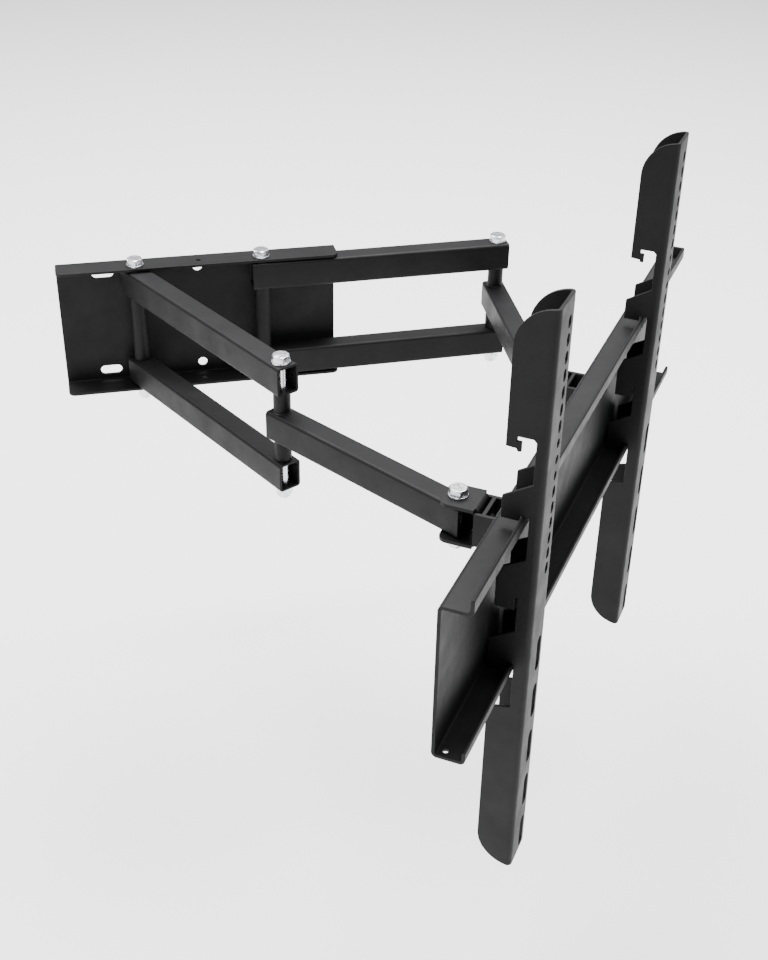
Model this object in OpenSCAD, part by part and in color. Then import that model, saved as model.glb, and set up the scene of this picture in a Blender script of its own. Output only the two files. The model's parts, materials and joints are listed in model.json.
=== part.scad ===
// Full motion wall mount for a flat screen: two jointed arms, a rail and two hang-on brackets.
// Millimetres. Origin at the centre of the wall plate's back face, +X right along the wall,
// -Y out of the wall towards the screen, +Z up.

/* [Wall plate] */
// Width of the wall plate along the wall
plate_w = 250; // [200:1:400]
// Height of the wall plate
plate_h = 120; // [110:1:160]
// Flange left in front of a shoulder bolt's centre
plate_edge = 9; // [8.5:0.1:14]
// Sheet thickness of the wall plate
plate_t = 2.5; // [2:0.1:3]
// Distance between the two shoulder bolts
shoulder_span = 112; // [90:1:180]
// Distance from the centre hole to each slot of a row
fixing_x = 84.5; // [60:0.5:90]
// Distance from the plate's top and bottom edges to the fixing rows
fixing_edge = 12; // [10:0.5:30]
// Width of the fixing slots and diameter of the centre holes
fixing_d = 8.5; // [6:0.1:12]
// End to end length of the fixing slots
fixing_len = 19.5; // [14:0.5:40]

/* [Arms] */
// Shoulder bolt to elbow bolt
arm_len = 222; // [185:1:270]
// Elbow bolt to wrist bolt
forearm_len = 184; // [153:1:221]
// Width of all arm tubes
tube_w = 20; // [16:0.5:25]
// Height of all arm tubes
tube_h = 25; // [20:0.5:30]
// Wall thickness of all arm tubes
tube_t = 2; // [1.2:0.1:2.5]
// Outer corner radius of all arm tubes
tube_r = 2.6; // [1.5:0.1:4]
// Length of tube beyond a bolt
tube_end = 9; // [7.5:0.5:12]
// Turn of the left arm from the wall plate's +X direction
left_arm_turn = -63.8; // [-80:0.1:-50]
// Turn of the right arm from the wall plate's +X direction
right_arm_turn = 0.8; // [-15:0.1:1]

/* [Rail] */
// Length of the rail
rail_l = 572; // [476:1:700]
// Height of the rail over its flanges
rail_h = 120; // [95:1:140]
// Depth of the rail from back face to lips
rail_d = 23; // [18:0.5:28]
// Sheet thickness of the rail
rail_t = 2.5; // [1.5:0.1:3]
// Height of the upturned lips
lip_h = 10; // [6:0.5:12]
// Turn of the rail from the wall plate's +X direction
rail_turn = 54.9; // [40:0.1:66]
// Distance between the two wrist bolts
wrist_span = 209; // [170:1:255]
// Distance from the wrist bolts to the rail's back face
wrist_out = 50.5; // [42:0.5:62]
// Width of the wrist clevises and of the stand-offs
clevis_w = 30; // [24:0.5:36]
// Plate thickness of the clevises and stand-offs
clevis_t = 3; // [2:0.1:3.6]

/* [Brackets] */
// Height of a bracket above the rail's middle
bracket_up = 216; // [180:1:260]
// Height of a bracket below the rail's middle
bracket_down = 242; // [200:1:300]
// Distance from the rail's lips to the front face of a bracket
bracket_front = 11.5; // [10:0.5:20]
// Width of a bracket
bracket_w = 34; // [28:0.5:45]
// Sheet thickness of a bracket
bracket_t = 2.5; // [1.5:0.1:3]
// Place of the left bracket along the rail
left_bracket_at = -174; // [-250:1:-30]
// Place of the right bracket along the rail
right_bracket_at = 145; // [30:1:250]
// Spacing of the short slots
short_pitch = 12; // [10:0.1:14.4]
// Spacing of the long slots
long_pitch = 43; // [35.5:0.5:52]

/* [Fasteners] */
// Shank diameter of the pivot bolts
bolt_d = 8; // [6:0.5:10]
// Width across flats of the bolt heads and nuts
hex_af = 13; // [10:0.5:17]
// Thickness of the bolt heads
head_h = 5.3; // [4:0.1:7]
// Thickness of the lock nuts
nut_h = 8; // [6:0.1:10]
// Outside diameter of the steel washers
washer_d = 15; // [13:0.5:18]
// Thickness of the steel washers
washer_t = 1.6; // [1:0.1:2]
// Outside diameter of the spacer tubes on the bolts
spacer_d = 14; // [12:0.5:18]
// Outside diameter of the nylon bush barrels
bush_d = 11; // [9:0.5:13]
// Thickness of the nylon bush flanges
bush_flange = 1; // [0.6:0.1:1.5]

/* [Clearances] */
// Radial gap between a bolt and what turns on it
bolt_gap = 0.1; // [0.05:0.01:0.2]
// Gap along a pivot between the pieces that turn
run_gap = 0.2; // [0.1:0.05:0.4]
// Radial gap round the right wrist bolt, which takes up the linkage's small error
float_gap = 1; // [0.8:0.1:1.4]
// Gap between the corner of a tube and the sheet it swings past
swing_gap = 1; // [0.8:0.1:2]
// Gap between a bracket and the rail it slides on
slide_gap = 0.3; // [0.2:0.05:0.5]

/* [Hidden] */
$fn = 64;
bend_r = 4;
rivet_head = 2.4;
standoff_gap = 2.5;
leg_gap = 0.3;

// a tube's corner swings round its bolt at this radius
tube_corner = norm([tube_end, tube_w / 2]);
shoulder_out = plate_t + swing_gap + tube_corner;
plate_d = shoulder_out + plate_edge;
fixing_z = plate_h / 2 - fixing_edge;
clevis_reach = tube_corner + swing_gap + rivet_head;
clevis_rear = washer_d / 2 + 2.5;

// heights along the pivots
arm_top = plate_h / 2 - plate_t - run_gap - bush_flange;
arm_low = arm_top - tube_h;
forearm_top = tube_h / 2;
spacer_low = forearm_top + bush_flange + run_gap;
clevis_in = spacer_low;
clevis_out = clevis_in + clevis_t;

// places of the pivots in the wall's plan
function step(from, turn, length) = from + length * [cos(turn), sin(turn)];
left_shoulder = [-shoulder_span / 2, -shoulder_out];
right_shoulder = [shoulder_span / 2, -shoulder_out];
left_elbow = step(left_shoulder, left_arm_turn, arm_len);
right_elbow = step(right_shoulder, right_arm_turn, arm_len);
// the two forearms close the loop: moved along by the wrists' distance, the left elbow and the
// right elbow are both one forearm away from the right wrist
shifted_elbow = step(left_elbow, rail_turn, wrist_span);
elbow_gap = right_elbow - shifted_elbow;
half_gap = norm(elbow_gap) / 2;
out_of_wall = [elbow_gap[1], -elbow_gap[0]] / (2 * half_gap);
right_wrist = shifted_elbow + elbow_gap / 2 + out_of_wall * sqrt(pow(forearm_len, 2) - pow(half_gap, 2));
left_wrist = step(right_wrist, rail_turn, -wrist_span);
function turn_of(v) = atan2(v[1], v[0]);
left_forearm_turn = turn_of(left_wrist - left_elbow);
right_forearm_turn = turn_of(right_wrist - right_elbow);
// the middle of the rail's back face
rail_at = step((left_wrist + right_wrist) / 2, rail_turn - 90, wrist_out);

// bracket profile: p is the distance in front of the rail's back face, z is from the rail's middle
hook_p = rail_t + 4.5;
front_p = rail_d + bracket_front;
bracket_d = front_p - hook_p;
lip_back = rail_d - rail_t;
lip_top = rail_h / 2 + lip_h;
low_lip_top = -rail_h / 2 + lip_h;
slot_w = 6;
long_w = 8.5;
long_len = 29;
slot_shift = bracket_w * 0.17;

black = [0.09, 0.09, 0.10];
zinc = [0.80, 0.81, 0.83];
nylon = [0.14, 0.14, 0.15];

// ---------- shared shapes ----------

// a square with round corners, from x0,y0 to x1,y1
module round_square(x0, y0, x1, y1, r) {
    translate([x0 + r, y0]) square([x1 - x0 - 2 * r, y1 - y0]);
    translate([x0, y0 + r]) square([x1 - x0, y1 - y0 - 2 * r]);
    for (x = [x0 + r, x1 - r]) {
        for (y = [y0 + r, y1 - r]) {
            translate([x, y]) circle(r);
        }
    }
}

// a quarter of a ring with its centre at c, turned by quarter turns from the first quadrant
module sheet_bend(c, quarter, r, t) {
    translate(c) rotate(90 * quarter) intersection() {
        difference() {
            circle(r);
            circle(r - t);
        }
        square([r + 1, r + 1]);
    }
}

// a slot of a given width and end-to-end length along x, as a 2D outline
module slot_2d(length, width) {
    square([length - width, width], center = true);
    for (x = [-1, 1]) {
        translate([x * (length - width) / 2, 0]) circle(d = width);
    }
}

// a C of bent sheet, open at the front: p runs to the front, z is up
module channel_2d(depth, half_h, t) {
    translate([0, -half_h + bend_r]) square([t, 2 * half_h - 2 * bend_r]);
    sheet_bend([bend_r, half_h - bend_r], 1, bend_r, t);
    sheet_bend([bend_r, -half_h + bend_r], 2, bend_r, t);
    translate([bend_r, half_h - t]) square([depth - bend_r, t]);
    translate([bend_r, -half_h]) square([depth - bend_r, t]);
}

// stretches a (p, z) outline along x and stands it up: p becomes -y
module along_x(length) {
    translate([-length / 2, 0, 0]) rotate([90, 0, 90]) mirror([1, 0, 0]) linear_extrude(length) children();
}

// places a piece in the wall's plan: at a pivot, turned
module at(point, turn = 0) {
    translate([point[0], point[1], 0]) rotate([0, 0, turn]) children();
}

// places a piece on the rail: x along the rail, -y towards the screen
module on_rail(x = 0) {
    at(rail_at, rail_turn) translate([x, 0, 0]) children();
}

module above_and_below() {
    children();
    mirror([0, 0, 1]) children();
}

module ring(z0, z1, d_out, d_in) {
    translate([0, 0, z0]) difference() {
        cylinder(d = d_out, h = z1 - z0);
        translate([0, 0, -1]) cylinder(d = d_in, h = z1 - z0 + 2);
    }
}

module hexagon(z0, z1, af) {
    translate([0, 0, z0]) rotate(30) cylinder(d = af / cos(30), h = z1 - z0, $fn = 6);
}

// a hexagon with its upper corners chamfered, as a bolt head or nut has
module chamfered_hex(z0, z1, af) {
    corner = af / cos(30);
    intersection() {
        hexagon(z0, z1, af);
        translate([0, 0, z0 - 1]) cylinder(d = corner + 1, h = z1 - z0 + 1 - 1.1);
    }
    intersection() {
        hexagon(z1 - 1.1, z1, af);
        translate([0, 0, z1 - 1.1]) cylinder(d1 = corner, d2 = af * 0.96, h = 1.1);
    }
}

// a bolt through a stack from seat_z down to -seat_z, head on top
module pivot_bolt(seat_z) {
    chamfered_hex(seat_z, seat_z + head_h, hex_af);
    translate([0, 0, -seat_z - nut_h - 1.5]) cylinder(d = bolt_d, h = 2 * seat_z + nut_h + 1.5);
}

// a lock nut under a stack, with its round collar at the bottom
module lock_nut(seat_z) {
    difference() {
        union() {
            mirror([0, 0, 1]) chamfered_hex(seat_z, seat_z + nut_h - 2, hex_af);
            translate([0, 0, -seat_z - nut_h]) cylinder(d = hex_af * 0.86, h = 3);
        }
        translate([0, 0, -seat_z - nut_h - 1]) cylinder(d = bolt_d, h = nut_h + 2);
    }
}

module bolt_washers(seat_z) {
    above_and_below() ring(seat_z - washer_t, seat_z, washer_d, bolt_d);
}

// a box tube along x from its first bolt to its second, with its bottom at z0
module box_tube(length, z0, first_d, second_d) {
    total = length + 2 * tube_end;
    difference() {
        translate([-tube_end, 0, z0 + tube_h / 2]) rotate([90, 0, 90]) linear_extrude(total) {
            difference() {
                round_square(-tube_w / 2, -tube_h / 2, tube_w / 2, tube_h / 2, tube_r);
                round_square(-tube_w / 2 + tube_t, -tube_h / 2 + tube_t, tube_w / 2 - tube_t,
                    tube_h / 2 - tube_t, max(0.4, tube_r - tube_t));
            }
        }
        translate([0, 0, z0 - 1]) cylinder(d = first_d, h = tube_h + 2);
        translate([length, 0, z0 - 1]) cylinder(d = second_d, h = tube_h + 2);
    }
}

// a pair of flanged bushes in one tube wall, seen from the wall's outer face at z, barrel inwards
module flanged_bush(z, inwards) {
    bore = bolt_d + 2 * bolt_gap;
    ring(min(z, z - inwards * bush_flange), max(z, z - inwards * bush_flange), washer_d, bore);
    ring(min(z, z + inwards * tube_t), max(z, z + inwards * tube_t), bush_d, bore);
}

// ---------- wall side ----------

module wall_plate() {
    color(black) difference() {
        intersection() {
            along_x(plate_w) channel_2d(plate_d, plate_h / 2, plate_t);
            // the flanges' front corners are round in plan
            translate([0, 0, -plate_h]) linear_extrude(2 * plate_h) mirror([0, 1])
                round_square(-plate_w / 2, -10, plate_w / 2, plate_d, 6);
        }
        // the web's holes: a row above and a row below the middle
        for (z = [-fixing_z, fixing_z]) {
            translate([0, 1, z]) rotate([90, 0, 0]) cylinder(d = fixing_d, h = plate_t + 2);
            for (x = [-fixing_x, fixing_x]) {
                translate([x, 1, z]) rotate([90, 0, 0]) linear_extrude(plate_t + 2)
                    slot_2d(fixing_len, fixing_d);
            }
        }
        // the flanges' holes: two shoulder bolts and a small centre hole
        for (x = [-shoulder_span / 2, shoulder_span / 2]) {
            translate([x, -shoulder_out, -plate_h]) cylinder(d = bolt_d + 2 * bolt_gap, h = 2 * plate_h);
        }
        translate([0, -shoulder_out + 2, -plate_h]) cylinder(d = 4, h = 2 * plate_h);
    }
}

module at_shoulders() {
    at(left_shoulder) children();
    at(right_shoulder) children();
}

shoulder_seat = plate_h / 2 + washer_t;
module shoulder_bolts() {
    color(zinc) at_shoulders() pivot_bolt(shoulder_seat);
}
module shoulder_nuts() {
    color(zinc) at_shoulders() lock_nut(shoulder_seat);
}
module shoulder_washers() {
    color(zinc) at_shoulders() bolt_washers(shoulder_seat);
}

// ---------- arms ----------

elbow_seat = arm_top + washer_t;
wrist_seat = clevis_out + washer_t;

// the upper tube turns on the shoulder bolt's bushes; the elbow bolt is fixed in its other end
module arm_upper_tube(from, turn) {
    color(black) at(from, turn) box_tube(arm_len, arm_low, bush_d, bolt_d);
}
module arm_lower_tube(from, turn) {
    color(black) at(from, turn) box_tube(arm_len, -arm_top, bush_d, bolt_d);
}
// the round post between the two tubes at the shoulder
module shoulder_post(from) {
    color(black) at(from) ring(-arm_low, arm_low, spacer_d, bolt_d + 2 * bolt_gap);
}
module shoulder_bushes(from) {
    color(nylon) at(from) above_and_below() flanged_bush(arm_top, -1);
}
module elbow_bolt(from) {
    color(zinc) at(from) pivot_bolt(elbow_seat);
}
module elbow_nut(from) {
    color(zinc) at(from) lock_nut(elbow_seat);
}
module elbow_washers(from) {
    color(zinc) at(from) bolt_washers(elbow_seat);
}
// the spacers that hold the forearm midway between the two tubes
module elbow_spacers(from) {
    color(black) at(from) above_and_below() ring(spacer_low, arm_low, spacer_d, bolt_d);
}

// both ends of a forearm turn; the wrist end of the right one is a plain clearance hole
module forearm_tube(from, turn, wrist_hole) {
    color(black) at(from, turn) box_tube(forearm_len, -forearm_top, bush_d, wrist_hole);
}
module forearm_bushes(from) {
    color(nylon) at(from) above_and_below() flanged_bush(forearm_top, -1);
}

// ---------- wrists ----------

at_left_wrist = -wrist_span / 2;
at_right_wrist = wrist_span / 2;
standoff_front = clevis_reach + clevis_t + standoff_gap;

// a U bent round the forearm's end, open towards the wall; its web stands between the stand-off's legs
module wrist_clevis(x) {
    web_w = clevis_w - 2 * clevis_t - 2 * leg_gap;
    color(black) on_rail(x) translate([0, wrist_out, 0]) difference() {
        intersection() {
            along_x(clevis_w) mirror([1, 0]) translate([-clevis_reach - clevis_t, 0])
                channel_2d(2 * clevis_reach + clevis_t, clevis_out, clevis_t);
            // the two ears have round rear corners in plan
            translate([0, 0, -50]) linear_extrude(100) {
                round_square(-clevis_w / 2, -clevis_reach, clevis_w / 2, clevis_rear, 7);
                translate([-clevis_w / 2, -clevis_reach]) square([clevis_w, clevis_reach]);
                translate([-web_w / 2, -clevis_reach - clevis_t - 1]) square([web_w, clevis_t + 2]);
            }
        }
        translate([0, 0, -50]) cylinder(d = bolt_d, h = 100);
        translate([0, -clevis_reach + 1, 0]) rotate([90, 0, 0]) cylinder(d = bolt_d, h = clevis_t + 2);
    }
}

// two legs welded to the rail's back, with a web set back between them for the clevis
module rail_standoff(x) {
    leg = wrist_out - standoff_front;
    reach = wrist_out - clevis_reach - leg_gap;
    color(black) on_rail(x) difference() {
        translate([0, 0, -clevis_in]) linear_extrude(2 * clevis_in) {
            translate([-clevis_w / 2, leg - clevis_t]) square([clevis_w, clevis_t]);
            translate([-clevis_w / 2, 0]) square([clevis_t, reach]);
            translate([clevis_w / 2 - clevis_t, 0]) square([clevis_t, reach]);
        }
        translate([0, leg + 1, 0]) rotate([90, 0, 0]) cylinder(d = bolt_d, h = clevis_t + 2);
    }
}

// the rivet that joins a clevis to its stand-off, with a low head inside the clevis
module standoff_rivet(x) {
    shank = 2 * clevis_t + standoff_gap;
    color(black) on_rail(x) translate([0, wrist_out - clevis_reach, 0]) rotate([90, 0, 0]) {
        translate([0, 0, -rivet_head]) cylinder(d1 = 11, d2 = 14, h = rivet_head);
        cylinder(d = bolt_d, h = shank);
        translate([0, 0, shank]) cylinder(d1 = 14, d2 = 11, h = rivet_head);
    }
}

// the ring that keeps the clevis off its stand-off
module standoff_washer(x) {
    color(black) on_rail(x) translate([0, wrist_out - clevis_reach - clevis_t, 0]) rotate([90, 0, 0])
        ring(0, standoff_gap, washer_d, bolt_d);
}

module at_wrist(x) {
    on_rail(x) translate([0, wrist_out, 0]) children();
}
module wrist_bolts() {
    color(zinc) {
        at_wrist(at_left_wrist) pivot_bolt(wrist_seat);
        at_wrist(at_right_wrist) pivot_bolt(wrist_seat);
    }
}
module wrist_nuts() {
    color(zinc) {
        at_wrist(at_left_wrist) lock_nut(wrist_seat);
        at_wrist(at_right_wrist) lock_nut(wrist_seat);
    }
}
module wrist_washers() {
    color(zinc) {
        at_wrist(at_left_wrist) bolt_washers(wrist_seat);
        at_wrist(at_right_wrist) bolt_washers(wrist_seat);
    }
}
// at the right wrist the nylon washers sit on the clevis, so the forearm's end can float
module right_wrist_spacers() {
    color(nylon) at_wrist(at_right_wrist) above_and_below()
        ring(forearm_top + run_gap, clevis_in, washer_d, bolt_d);
}

// ---------- rail ----------

// a front lip: the flange bends up over a radius and ends in a round edge
module lip_2d(z_flange) {
    // the top lip's height is over the flange's upper face, the bottom lip's over its lower face
    straight = lip_h - bend_r - rail_t / 2 + (z_flange < 0 ? 0 : rail_t);
    sheet_bend([rail_d - bend_r, z_flange + bend_r], 3, bend_r, rail_t);
    translate([lip_back, z_flange + bend_r]) square([rail_t, straight]);
    translate([rail_d - rail_t / 2, z_flange + bend_r + straight]) circle(d = rail_t);
}

module rail() {
    color(black) on_rail() difference() {
        along_x(rail_l) {
            channel_2d(rail_d - bend_r, rail_h / 2, rail_t);
            lip_2d(rail_h / 2 - rail_t);
            lip_2d(-rail_h / 2);
        }
        // a drain hole near each end of the bottom flange
        for (x = [-1, 1]) {
            translate([x * (rail_l / 2 - 6), -8, -rail_h]) cylinder(d = 4, h = rail_h);
        }
    }
    // the end stop stands up on the right end of the top flange
    color(black) on_rail(rail_l / 2 - rail_t) rotate([90, 0, 90]) mirror([1, 0, 0]) linear_extrude(rail_t)
        translate([rail_t, rail_h / 2 - rail_t / 2]) square([rail_d - 1.5 * rail_t, lip_h + rail_t / 2]);
}

// ---------- screen brackets ----------

// the side flange's outline, with its two round rear corners
module flange_outline() {
    difference() {
        translate([hook_p, -bracket_down]) square([bracket_d, bracket_up + bracket_down]);
        translate([hook_p, bracket_up - bracket_d]) difference() {
            translate([-1, 0]) square([bracket_d + 1, bracket_d + 1]);
            translate([bracket_d, 0]) circle(bracket_d);
        }
        translate([hook_p, -bracket_down - 1]) difference() {
            translate([-1, 0]) square([bracket_d + 1, bracket_d + 1]);
            translate([bracket_d, bracket_d + 1]) circle(bracket_d);
        }
    }
}

// the gap above the hook, with its little nub, down to the hook's sloping top
module top_gap() {
    nub = hook_p + 7;
    polygon([
        [-1, lip_top + 50], [nub, lip_top + 49], [nub + 0.7, lip_top + 47], [nub + 3, lip_top + 47],
        [nub + 3, lip_top + 54], [nub, lip_top + 54], [nub, lip_top + 57.5], [rail_d + 1.6, lip_top + 57.5],
        [rail_d + 3.6, lip_top + 55.5], [rail_d + 3.6, lip_top + 24.5], [-1, lip_top + 8]
    ]);
}

// the gap that takes the rail's top flange; the lip stands in its upper front corner
module flange_gap() {
    polygon([
        [-1, lip_top - 3.5], [lip_back - 1.2, lip_top - 3.5], [lip_back - 1.2, lip_top + slide_gap],
        [rail_d + 3, lip_top + slide_gap], [rail_d + 3, lip_top - 32.5], [-1, lip_top - 48]
    ]);
}

// the gap between the two middle tabs, with its relief cut
module middle_gap() {
    polygon([
        [-1, -0.035 * rail_h], [rail_d - 2, -0.035 * rail_h], [rail_d - 2, 0.05 * rail_h],
        [rail_d - 0.4, 0.05 * rail_h], [rail_d - 0.4, -0.18 * rail_h], [-1, -0.3 * rail_h]
    ]);
}

// the gap that takes the rail's bottom flange; the tab above it hooks behind the lip
module low_gap() {
    hook = lip_back - 1.2;
    polygon([
        [-1, -rail_h / 2 + rail_t + 0.6], [hook - 3, -rail_h / 2 + rail_t + 1.4],
        [hook, -rail_h / 2 + rail_t + 4],
        [hook, low_lip_top + 0.7], [rail_d + 0.7, low_lip_top + 0.7], [rail_d + 0.7, low_lip_top - 38],
        [-1, low_lip_top - 44]
    ]);
}

// the two middle tabs reach nearer to the rail's web than the rest of the flange
module low_tab() {
    polygon([[rail_t + 2.5, -rail_h / 2 + rail_t + 1], [hook_p + 1, -rail_h / 2 + rail_t + 1],
        [hook_p + 1, -0.25 * rail_h], [rail_t + 2.5, -0.25 * rail_h]]);
}

module flange_2d() {
    difference() {
        flange_outline();
        top_gap();
        flange_gap();
        middle_gap();
        low_gap();
    }
    difference() {
        low_tab();
        low_gap();
        middle_gap();
    }
}

// the slots in the front face: sixteen short ones above, five long ones below
module face_slots() {
    first_short = bracket_up - 16.5;
    for (i = [0:15]) {
        length = (i > 6 && i < 10) ? slot_w + 0.2 : slot_w + 2.5;
        translate([slot_shift, first_short - i * short_pitch]) rotate(90) slot_2d(length, slot_w);
    }
    first_long = -bracket_down + 17 + 4 * long_pitch;
    for (i = [0:4]) {
        translate([slot_shift, first_long - i * long_pitch]) rotate(90) slot_2d(long_len, long_w);
    }
}

module tv_bracket(x) {
    color(black) on_rail(x) difference() {
        intersection() {
            along_x(bracket_w) flange_2d();
            translate([0, 0, -bracket_down - 1]) linear_extrude(bracket_up + bracket_down + 2) mirror([0, 1])
                bracket_section();
        }
        translate([0, 1 - front_p + bracket_t, 0]) rotate([90, 0, 0]) linear_extrude(bracket_t + 2)
            face_slots();
    }
}

// the bracket's section in plan: a U with bent front corners
module bracket_section() {
    outer = bracket_w / 2;
    translate([-outer, 0]) square([bracket_t, front_p - bend_r]);
    translate([outer - bracket_t, 0]) square([bracket_t, front_p - bend_r]);
    sheet_bend([-outer + bend_r, front_p - bend_r], 1, bend_r, bracket_t);
    sheet_bend([outer - bend_r, front_p - bend_r], 0, bend_r, bracket_t);
    translate([-outer + bend_r, front_p - bracket_t]) square([bracket_w - 2 * bend_r, bracket_t]);
}

// ---------- the nodes ----------

wall_plate();
shoulder_bolts();
shoulder_nuts();
shoulder_washers();
arm_upper_tube(left_shoulder, left_arm_turn);  // left_upper_tube
arm_lower_tube(left_shoulder, left_arm_turn);  // left_lower_tube
shoulder_post(left_shoulder);  // left_shoulder_post
shoulder_bushes(left_shoulder);  // left_shoulder_bushes
elbow_bolt(left_elbow);  // left_elbow_bolt
elbow_nut(left_elbow);  // left_elbow_nut
elbow_washers(left_elbow);  // left_elbow_washers
elbow_spacers(left_elbow);  // left_elbow_spacers
forearm_tube(left_elbow, left_forearm_turn, bush_d);  // left_forearm_tube
forearm_bushes(left_elbow);  // left_elbow_bushes
forearm_bushes(left_wrist);  // left_wrist_bushes
arm_upper_tube(right_shoulder, right_arm_turn);  // right_upper_tube
arm_lower_tube(right_shoulder, right_arm_turn);  // right_lower_tube
shoulder_post(right_shoulder);  // right_shoulder_post
shoulder_bushes(right_shoulder);  // right_shoulder_bushes
elbow_bolt(right_elbow);  // right_elbow_bolt
elbow_nut(right_elbow);  // right_elbow_nut
elbow_washers(right_elbow);  // right_elbow_washers
elbow_spacers(right_elbow);  // right_elbow_spacers
forearm_tube(right_elbow, right_forearm_turn, bolt_d + 2 * float_gap);  // right_forearm_tube
forearm_bushes(right_elbow);  // right_elbow_bushes
wrist_clevis(at_left_wrist);  // left_wrist_clevis
wrist_clevis(at_right_wrist);  // right_wrist_clevis
rail_standoff(at_left_wrist);  // left_rail_standoff
rail_standoff(at_right_wrist);  // right_rail_standoff
standoff_rivet(at_left_wrist);  // left_standoff_rivet
standoff_rivet(at_right_wrist);  // right_standoff_rivet
standoff_washer(at_left_wrist);  // left_standoff_washer
standoff_washer(at_right_wrist);  // right_standoff_washer
wrist_bolts();
wrist_nuts();
wrist_washers();
right_wrist_spacers();
rail();
tv_bracket(left_bracket_at);  // left_tv_bracket
tv_bracket(right_bracket_at);  // right_tv_bracket
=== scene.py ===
import json
import math

import bmesh
import bpy
from mathutils import Matrix, Vector


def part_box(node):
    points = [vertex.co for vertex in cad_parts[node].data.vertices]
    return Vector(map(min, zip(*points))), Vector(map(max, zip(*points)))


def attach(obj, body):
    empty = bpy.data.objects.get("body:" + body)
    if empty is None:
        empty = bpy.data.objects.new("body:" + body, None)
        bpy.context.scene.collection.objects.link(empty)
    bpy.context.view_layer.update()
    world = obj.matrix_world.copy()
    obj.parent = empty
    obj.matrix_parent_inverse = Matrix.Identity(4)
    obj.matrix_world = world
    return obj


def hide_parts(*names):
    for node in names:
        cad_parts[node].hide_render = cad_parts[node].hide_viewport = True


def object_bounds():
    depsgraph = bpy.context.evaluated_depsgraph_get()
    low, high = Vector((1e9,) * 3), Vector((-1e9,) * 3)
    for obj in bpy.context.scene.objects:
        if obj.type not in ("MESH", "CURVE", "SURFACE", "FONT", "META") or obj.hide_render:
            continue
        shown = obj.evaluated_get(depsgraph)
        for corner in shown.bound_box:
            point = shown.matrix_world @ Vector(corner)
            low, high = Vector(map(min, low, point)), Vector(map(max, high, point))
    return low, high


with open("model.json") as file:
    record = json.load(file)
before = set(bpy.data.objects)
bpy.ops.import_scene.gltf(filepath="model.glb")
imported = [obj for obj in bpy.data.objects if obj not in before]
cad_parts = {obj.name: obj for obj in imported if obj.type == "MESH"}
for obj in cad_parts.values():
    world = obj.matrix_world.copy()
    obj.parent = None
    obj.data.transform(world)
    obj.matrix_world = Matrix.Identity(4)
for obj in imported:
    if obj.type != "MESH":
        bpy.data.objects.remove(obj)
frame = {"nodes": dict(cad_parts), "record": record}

nodes = frame["nodes"]
record = frame["record"]
bodies = record["behaviour"]["bodies"]
body_of = {n: b for b, members in bodies.items() for n in members}
slot_of = {s["node"]: s["material_slot"] for s in record["subparts"]}
cad_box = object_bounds()
MM = 0.001

# the camera: degrees turned right from straight at the wall, down and rolled; then its place in metres
CAMERA_TURN = (13.279, 32.292, 1.122)
CAMERA_PLACE = (-0.10056, -1.17746, 0.56159)
CAMERA_LENS_MM = 52.408
CAMERA_SENSOR_MM = 36.0

# how far an edge is rounded in millimetres, by the end of the node's name, and on all other nodes
EDGES = {"wall_plate": 0.45, "rail": 0.25, "tv_bracket": 0.25, "clevis": 0.3, "standoff": 0.3, "tube": 0.35}
SMALL_EDGE = 0.22

# before rounding, points this close and faces this flat are merged; then edges sharper than this are rounded
SAME_POINT = 0.12 * MM
FLAT_ANGLE = math.radians(0.6)
SHARP_ANGLE = math.radians(32)

# where edges stay sharp: from the rail's right end, from its top, and from the front of a clevis
RAIL_END_ZONE = 6 * MM
RAIL_TOP_ZONE = 1.6 * MM
CLEVIS_WEB_ZONE = 3.35 * MM

# the lock nuts' nylon rings: radii, and how far a ring stands out of its nut
RING_INNER = 4.02 * MM
RING_OUTER = 4.75 * MM
RING_PROUD = 0.28 * MM
RING_STEPS = 48

# the weld beads: the fillet's leg, its ripples, how deep it is sunk, and its tapered, blunt ends
BEAD_LEG = 1.5 * MM
BEAD_RIPPLE = 0.35 * MM
BEAD_RIPPLES = 13.5
BEAD_SUNK = 0.4 * MM
BEAD_FROM_END = 1.2 * MM
BEAD_TAPER = 1 / 16
BEAD_BLUNT = 0.02
BEAD_BULGE = 0.16
BEAD_STEPS = 84

# the floor, in metres under the mount and from its middle to an edge, and the sky
FLOOR_BELOW = 0.16
FLOOR_HALF = 9.0
WORLD_STRENGTH = 0.6

# lights: place and size in metres, power in watts
LIGHTS = {
    "key": ((1.9, -1.5, 1.7), (1.6, 1.6), 24),
    "top": ((0.1, 0.5, 2.6), (3.0, 2.4), 400),
    "fill": ((-2.2, -1.4, 1.0), (1.4, 1.4), 16),
}


# ---------- camera ----------

def place_camera():
    """The photograph's view: where it stands, which way it looks, and its lens."""
    azimuth, down, roll = (math.radians(v) for v in CAMERA_TURN)
    forward = Vector((
        math.sin(azimuth) * math.cos(down),
        math.cos(azimuth) * math.cos(down),
        -math.sin(down),
    ))
    level = Vector((math.cos(azimuth), -math.sin(azimuth), 0))
    above = level.cross(forward)
    right = math.cos(roll) * level + math.sin(roll) * above
    up = math.cos(roll) * above - math.sin(roll) * level
    data = bpy.data.cameras.new("camera")
    data.lens = CAMERA_LENS_MM
    data.sensor_width = CAMERA_SENSOR_MM
    data.clip_start, data.clip_end = 0.05, 50
    camera = bpy.data.objects.new("camera", data)
    bpy.context.scene.collection.objects.link(camera)
    camera.matrix_world = Matrix((
        (right.x, up.x, -forward.x, CAMERA_PLACE[0]),
        (right.y, up.y, -forward.y, CAMERA_PLACE[1]),
        (right.z, up.z, -forward.z, CAMERA_PLACE[2]),
        (0, 0, 0, 1),
    ))
    bpy.context.scene.camera = camera


# ---------- materials ----------

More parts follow.
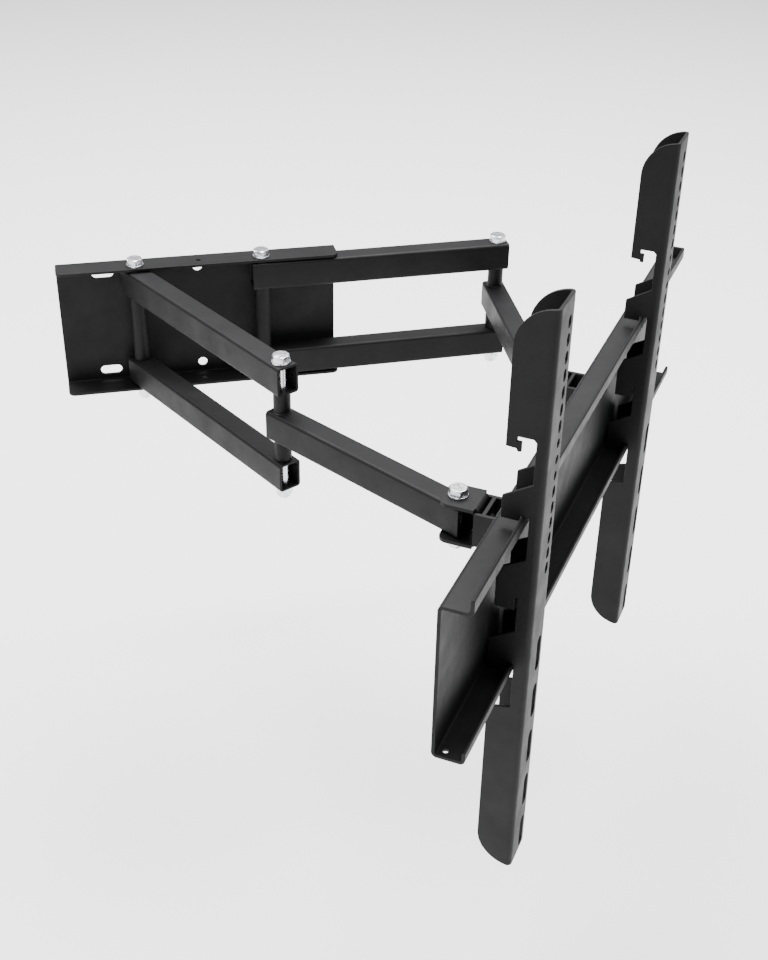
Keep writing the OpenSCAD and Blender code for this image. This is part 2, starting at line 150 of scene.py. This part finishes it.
def new_material(name):
    """A new material with its node tree and its Principled shader."""
    material = bpy.data.materials.new(name)
    material.use_nodes = True
    tree = material.node_tree
    shader = next(n for n in tree.nodes if n.type == "BSDF_PRINCIPLED")
    return material, tree, shader


def noise(tree, scale, detail, rough, stretch=None):
    """Noise in the object's own metres, so its grain has a real size."""
    where = tree.nodes.new("ShaderNodeTexCoord")
    out = where.outputs["Object"]
    if stretch:
        mapping = tree.nodes.new("ShaderNodeMapping")
        mapping.inputs["Scale"].default_value = stretch
        tree.links.new(out, mapping.inputs["Vector"])
        out = mapping.outputs["Vector"]
    texture = tree.nodes.new("ShaderNodeTexNoise")
    texture.inputs["Scale"].default_value = scale
    texture.inputs["Detail"].default_value = detail
    texture.inputs["Roughness"].default_value = rough
    tree.links.new(out, texture.inputs["Vector"])
    return texture.outputs["Fac"]


def ramp(tree, value, low, high, a, b):
    """Maps a value between low and high to a colour or grey between a and b."""
    node = tree.nodes.new("ShaderNodeValToRGB")
    node.color_ramp.elements[0].position = low
    node.color_ramp.elements[1].position = high
    for element, c in zip(node.color_ramp.elements, (a, b)):
        element.color = (*c, 1) if isinstance(c, tuple) else (c, c, c, 1)
    tree.links.new(value, node.inputs["Fac"])
    return node.outputs["Color"]


def bump(tree, height, depth, strength, before=None):
    """A fine relief of the given depth in metres, laid over an earlier one if there is one."""
    node = tree.nodes.new("ShaderNodeBump")
    node.inputs["Distance"].default_value = depth
    node.inputs["Strength"].default_value = strength
    tree.links.new(height, node.inputs["Height"])
    if before:
        tree.links.new(before, node.inputs["Normal"])
    return node.outputs["Normal"]


def powder_coat():
    """Satin black powder coat: fine orange peel, faint cloudiness and slightly uneven sheen."""
    material, tree, shader = new_material("black_powder_coat")
    cloud = noise(tree, 14, 4, 0.6)
    dark = (0.005, 0.005, 0.0055)
    light = (0.0095, 0.0095, 0.0101)
    tree.links.new(ramp(tree, cloud, 0.3, 0.7, dark, light), shader.inputs["Base Color"])
    sheen = noise(tree, 45, 3, 0.55)
    tree.links.new(ramp(tree, sheen, 0.3, 0.7, 0.44, 0.58), shader.inputs["Roughness"])
    shader.inputs["Specular IOR Level"].default_value = 0.13
    peel = bump(tree, noise(tree, 620, 2, 0.5), 0.0002, 0.5)
    grain = bump(tree, noise(tree, 2600, 2, 0.5), 0.00005, 0.35, peel)
    tree.links.new(grain, shader.inputs["Normal"])
    return material


def zinc_plate():
    """Bright zinc-plated steel: soft cloudy lustre with faint drawn lines."""
    material, tree, shader = new_material("bright_zinc")
    shader.inputs["Metallic"].default_value = 1.0
    cloud = noise(tree, 160, 4, 0.6)
    tree.links.new(
        ramp(tree, cloud, 0.3, 0.75, (0.62, 0.63, 0.66), (0.86, 0.87, 0.89)), shader.inputs["Base Color"]
    )
    tree.links.new(ramp(tree, noise(tree, 420, 3, 0.6), 0.3, 0.7, 0.2, 0.38), shader.inputs["Roughness"])
    lines = bump(tree, noise(tree, 900, 2, 0.5, stretch=(1, 1, 5)), 0.00004, 0.4)
    tree.links.new(lines, shader.inputs["Normal"])
    return material


def moulded_nylon(name, dark, light, rough):
    """Moulded nylon: even colour with a fine matt grain."""
    material, tree, shader = new_material(name)
    tree.links.new(ramp(tree, noise(tree, 90, 3, 0.5), 0.3, 0.7, dark, light), shader.inputs["Base Color"])
    tree.links.new(
        ramp(tree, noise(tree, 300, 2, 0.5), 0.3, 0.7, rough - 0.06, rough + 0.06), shader.inputs["Roughness"]
    )
    tree.links.new(bump(tree, noise(tree, 1900, 2, 0.5), 0.00005, 0.5), shader.inputs["Normal"])
    return material


def weld_paint():
    """The coat over a weld bead: shinier and lumpier than on the plain steel."""
    material, tree, shader = new_material("coated_weld")
    tree.links.new(
        ramp(tree, noise(tree, 200, 4, 0.6), 0.3, 0.7, (0.0045, 0.0045, 0.005), (0.0105, 0.0105, 0.011)),
        shader.inputs["Base Color"],
    )
    tree.links.new(ramp(tree, noise(tree, 500, 3, 0.6), 0.3, 0.7, 0.4, 0.6), shader.inputs["Roughness"])
    tree.links.new(bump(tree, noise(tree, 1100, 3, 0.6), 0.0002, 0.6), shader.inputs["Normal"])
    return material


# ---------- pieces ----------

def finish_piece(mesh, name, material, body, smooth_angle=30.0):
    """Puts a mesh in the scene as a smooth-shaded piece that rides on a body."""
    piece = bpy.data.objects.new(name, mesh)
    bpy.context.scene.collection.objects.link(piece)
    mesh.materials.clear()
    mesh.materials.append(material)
    for polygon in mesh.polygons:
        polygon.use_smooth = True
        polygon.material_index = 0
    mesh.set_sharp_from_angle(angle=math.radians(smooth_angle))
    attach(piece, body)
    return piece


def rail_directions():
    """The rail's own directions: along it, and forward to the screen."""
    slide = next(j for j in record["behaviour"]["joints"] if j["name"] == "left_bracket_slide")
    along = Vector(slide["axis"])
    return along, Vector((along.y, -along.x, 0))


def kept_sharp(node):
    """Tells the corners where rounded edges would run into each other, which stay sharp."""
    along, front = rail_directions()
    points = [v.co for v in nodes[node].data.vertices]
    if node == "rail":
        # where the end stop meets the round top of the lip
        end = max(p.dot(along) for p in points) - RAIL_END_ZONE
        top = max(p.z for p in points) - RAIL_TOP_ZONE
        return lambda p: p.dot(along) > end and p.z > top
    if node.endswith("clevis"):
        # where the narrow web steps in behind the ears
        step = max(p.dot(front) for p in points) - CLEVIS_WEB_ZONE
        return lambda p: p.dot(front) > step
    return lambda p: False


def soft_edged(node, width, material):
    """A copy of a CAD piece with its sharp edges rounded, as paint or a deburred cut leaves them."""
    mesh = bpy.data.meshes.new(node + "_finished")
    bm = bmesh.new()
    bm.from_mesh(nodes[node].data)
    bmesh.ops.remove_doubles(bm, verts=bm.verts, dist=SAME_POINT)
    bmesh.ops.dissolve_limit(bm, angle_limit=FLAT_ANGLE, verts=bm.verts, edges=bm.edges)
    sharp = kept_sharp(node)
    weight = bm.edges.layers.float.new("bevel_weight_edge")
    for edge in bm.edges:
        if edge.calc_face_angle(0.0) > SHARP_ANGLE and not any(sharp(v.co) for v in edge.verts):
            edge[weight] = 1.0
    bm.to_mesh(mesh)
    bm.free()
    piece = finish_piece(mesh, node + "_finished", material, body_of[node])
    bevel = piece.modifiers.new("edges", "BEVEL")
    bevel.width = width
    bevel.segments = 2
    bevel.limit_method = "WEIGHT"
    bevel.use_clamp_overlap = False
    bevel.harden_normals = True
    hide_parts(node)


def closed_mesh(name, points, faces):
    """A closed mesh with its faces turned outwards."""
    mesh = bpy.data.meshes.new(name)
    mesh.from_pydata(points, [], faces)
    bm = bmesh.new()
    bm.from_mesh(mesh)
    bmesh.ops.recalc_face_normals(bm, faces=bm.faces)
    bm.to_mesh(mesh)
    bm.free()
    return mesh


def swept(name, rows):
    """A bar through rows of points; the first and last row are closed with flat ends."""
    count = len(rows[0])
    points = [p for row in rows for p in row]
    faces = []
    for i in range(len(rows) - 1):
        for j in range(count):
            k = (j + 1) % count
            faces.append((i * count + j, i * count + k, (i + 1) * count + k, (i + 1) * count + j))
    faces.append(tuple(range(count)))
    faces.append(tuple((len(rows) - 1) * count + j for j in range(count)))
    return closed_mesh(name, points, faces)


def lathed(name, centre, profile):
    """A closed ring turned about the vertical axis through centre; profile is (radius, z) points."""
    points, faces, n = [], [], len(profile)
    for i in range(RING_STEPS):
        a = 2 * math.pi * i / RING_STEPS
        points += [(centre[0] + r * math.cos(a), centre[1] + r * math.sin(a), z) for r, z in profile]
    for i in range(RING_STEPS):
        k = (i + 1) % RING_STEPS
        for j in range(n):
            m = (j + 1) % n
            faces.append((i * n + j, k * n + j, k * n + m, i * n + m))
    return closed_mesh(name, points, faces)


def pivot_axes():
    """Where the six pivots stand, as (x, y)."""
    axes = [tuple(j["pos_m"][:2]) for j in record["behaviour"]["joints"] if j["type"] == "hinge"]
    low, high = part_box("right_wrist_spacers")
    axes.append(((low[0] + high[0]) / 2, (low[1] + high[1]) / 2))
    return axes


def insert_rings(material):
    """The nylon ring in the collar of each lock nut."""
    for node in nodes:
        if not node.endswith(("nut", "nuts")):
            continue
        low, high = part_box(node)
        for k, (x, y) in enumerate(pivot_axes()):
            if not (low[0] < x < high[0] and low[1] < y < high[1]):
                continue
            inside = low[2] + 0.5 * MM
            profile = [
                (RING_INNER, inside),
                (RING_INNER, low[2] - 0.7 * RING_PROUD),
                (RING_INNER + 0.12 * MM, low[2] - RING_PROUD),
                (RING_OUTER - 0.2 * MM, low[2] - RING_PROUD),
                (RING_OUTER, low[2] - 0.5 * RING_PROUD),
                (RING_OUTER, inside),
            ]
            name = f"{node}_insert_{k}"
            finish_piece(lathed(name, (x, y), profile), name, material, body_of[node])


def bead_section(reach, corner_x, face, side, along, front):
    """A fillet's outline in plan, as (x, y) points: a bulging quarter round, closed inside the steel."""
    outline = []
    for a in range(7):
        angle = math.pi / 2 * a / 6
        bulge = reach * (1 - BEAD_BULGE * math.sin(2 * angle))
        outline.append((corner_x + side * bulge * math.cos(angle), face - bulge * math.sin(angle)))
    outline.append((corner_x - side * BEAD_SUNK, face - reach))
    outline.append((corner_x - side * BEAD_SUNK, face + BEAD_SUNK))
    outline.append((corner_x + side * reach, face + BEAD_SUNK))
    places = [along * x + front * p for x, p in outline]
    return [(place.x, place.y) for place in places]


def weld_beads(material):
    """A fillet weld up the outer side of each leg where it meets the back of the rail."""
    along, front = rail_directions()
    for node in ("left_rail_standoff", "right_rail_standoff"):
        points = [v.co for v in nodes[node].data.vertices]
        face = max(p.dot(front) for p in points)
        start = min(p.z for p in points) + BEAD_FROM_END
        length = max(p.z for p in points) - BEAD_FROM_END - start
        for side, end, pick in ((-1, "a", min), (1, "b", max)):
            corner_x = pick(p.dot(along) for p in points)
            rows = []
            for i in range(BEAD_STEPS + 1):
                t = i / BEAD_STEPS
                ripple = abs(math.sin(math.pi * t * BEAD_RIPPLES))
                swell = min(1.0, math.sqrt(min(t, 1 - t) / BEAD_TAPER + BEAD_BLUNT))
                reach = (BEAD_LEG + BEAD_RIPPLE * ripple) * swell
                section = bead_section(reach, corner_x, face, side, along, front)
                rows.append([(x, y, start + length * t) for x, y in section])
            name = f"{node}_weld_{end}"
            finish_piece(swept(name, rows), name, material, body_of[node], 50)


def dress_nodes():
    """Gives every CAD node its material, and every steel one a copy with rounded edges."""
    finishes = {
        "black_steel": powder_coat(),
        "zinc_hardware": zinc_plate(),
        "black_nylon": moulded_nylon("black_nylon", (0.012, 0.012, 0.013), (0.022, 0.022, 0.024), 0.5),
    }
    for node, piece in nodes.items():
        material = finishes[slot_of[node]]
        piece.data.materials.clear()
        piece.data.materials.append(material)
        if slot_of[node] != "black_nylon":
            width = next((w for end, w in EDGES.items() if node.endswith(end)), SMALL_EDGE)
            soft_edged(node, width * MM, material)


place_camera()
dress_nodes()
insert_rings(moulded_nylon("insert_nylon", (0.55, 0.56, 0.55), (0.66, 0.67, 0.66), 0.45))
weld_beads(weld_paint())


# ---------- stage ----------

def stage():
    """A plain pale floor under an even white sky."""
    mesh = bpy.data.meshes.new("floor")
    low = cad_box[0].z - FLOOR_BELOW
    corners = [(FLOOR_HALF * x, FLOOR_HALF * y, low) for x, y in ((-1, -1), (1, -1), (1, 1), (-1, 1))]
    mesh.from_pydata(corners, [], [(0, 1, 2, 3)])
    floor = bpy.data.objects.new("floor", mesh)
    bpy.context.scene.collection.objects.link(floor)
    material, _, shader = new_material("pale_floor")
    shader.inputs["Base Color"].default_value = (0.92, 0.92, 0.92, 1)
    shader.inputs["Roughness"].default_value = 0.9
    shader.inputs["Specular IOR Level"].default_value = 0.1
    mesh.materials.append(material)
    world = bpy.data.worlds.new("world")
    world.use_nodes = True
    background = world.node_tree.nodes["Background"]
    background.inputs["Color"].default_value = (1.0, 1.0, 1.0, 1)
    background.inputs["Strength"].default_value = WORLD_STRENGTH
    bpy.context.scene.world = world


def area_light(name, place, aim, size, power):
    """A soft rectangular light at place, turned towards aim."""
    data = bpy.data.lights.new(name, "AREA")
    data.shape = "RECTANGLE"
    data.size, data.size_y = size
    data.energy = power
    light = bpy.data.objects.new(name, data)
    bpy.context.scene.collection.objects.link(light)
    light.location = place
    light.rotation_euler = (Vector(aim) - Vector(place)).to_track_quat("-Z", "Y").to_euler()


stage()
middle = (cad_box[0] + cad_box[1]) / 2
for name, (place, size, power) in LIGHTS.items():
    area_light(name, place, middle, size, power)
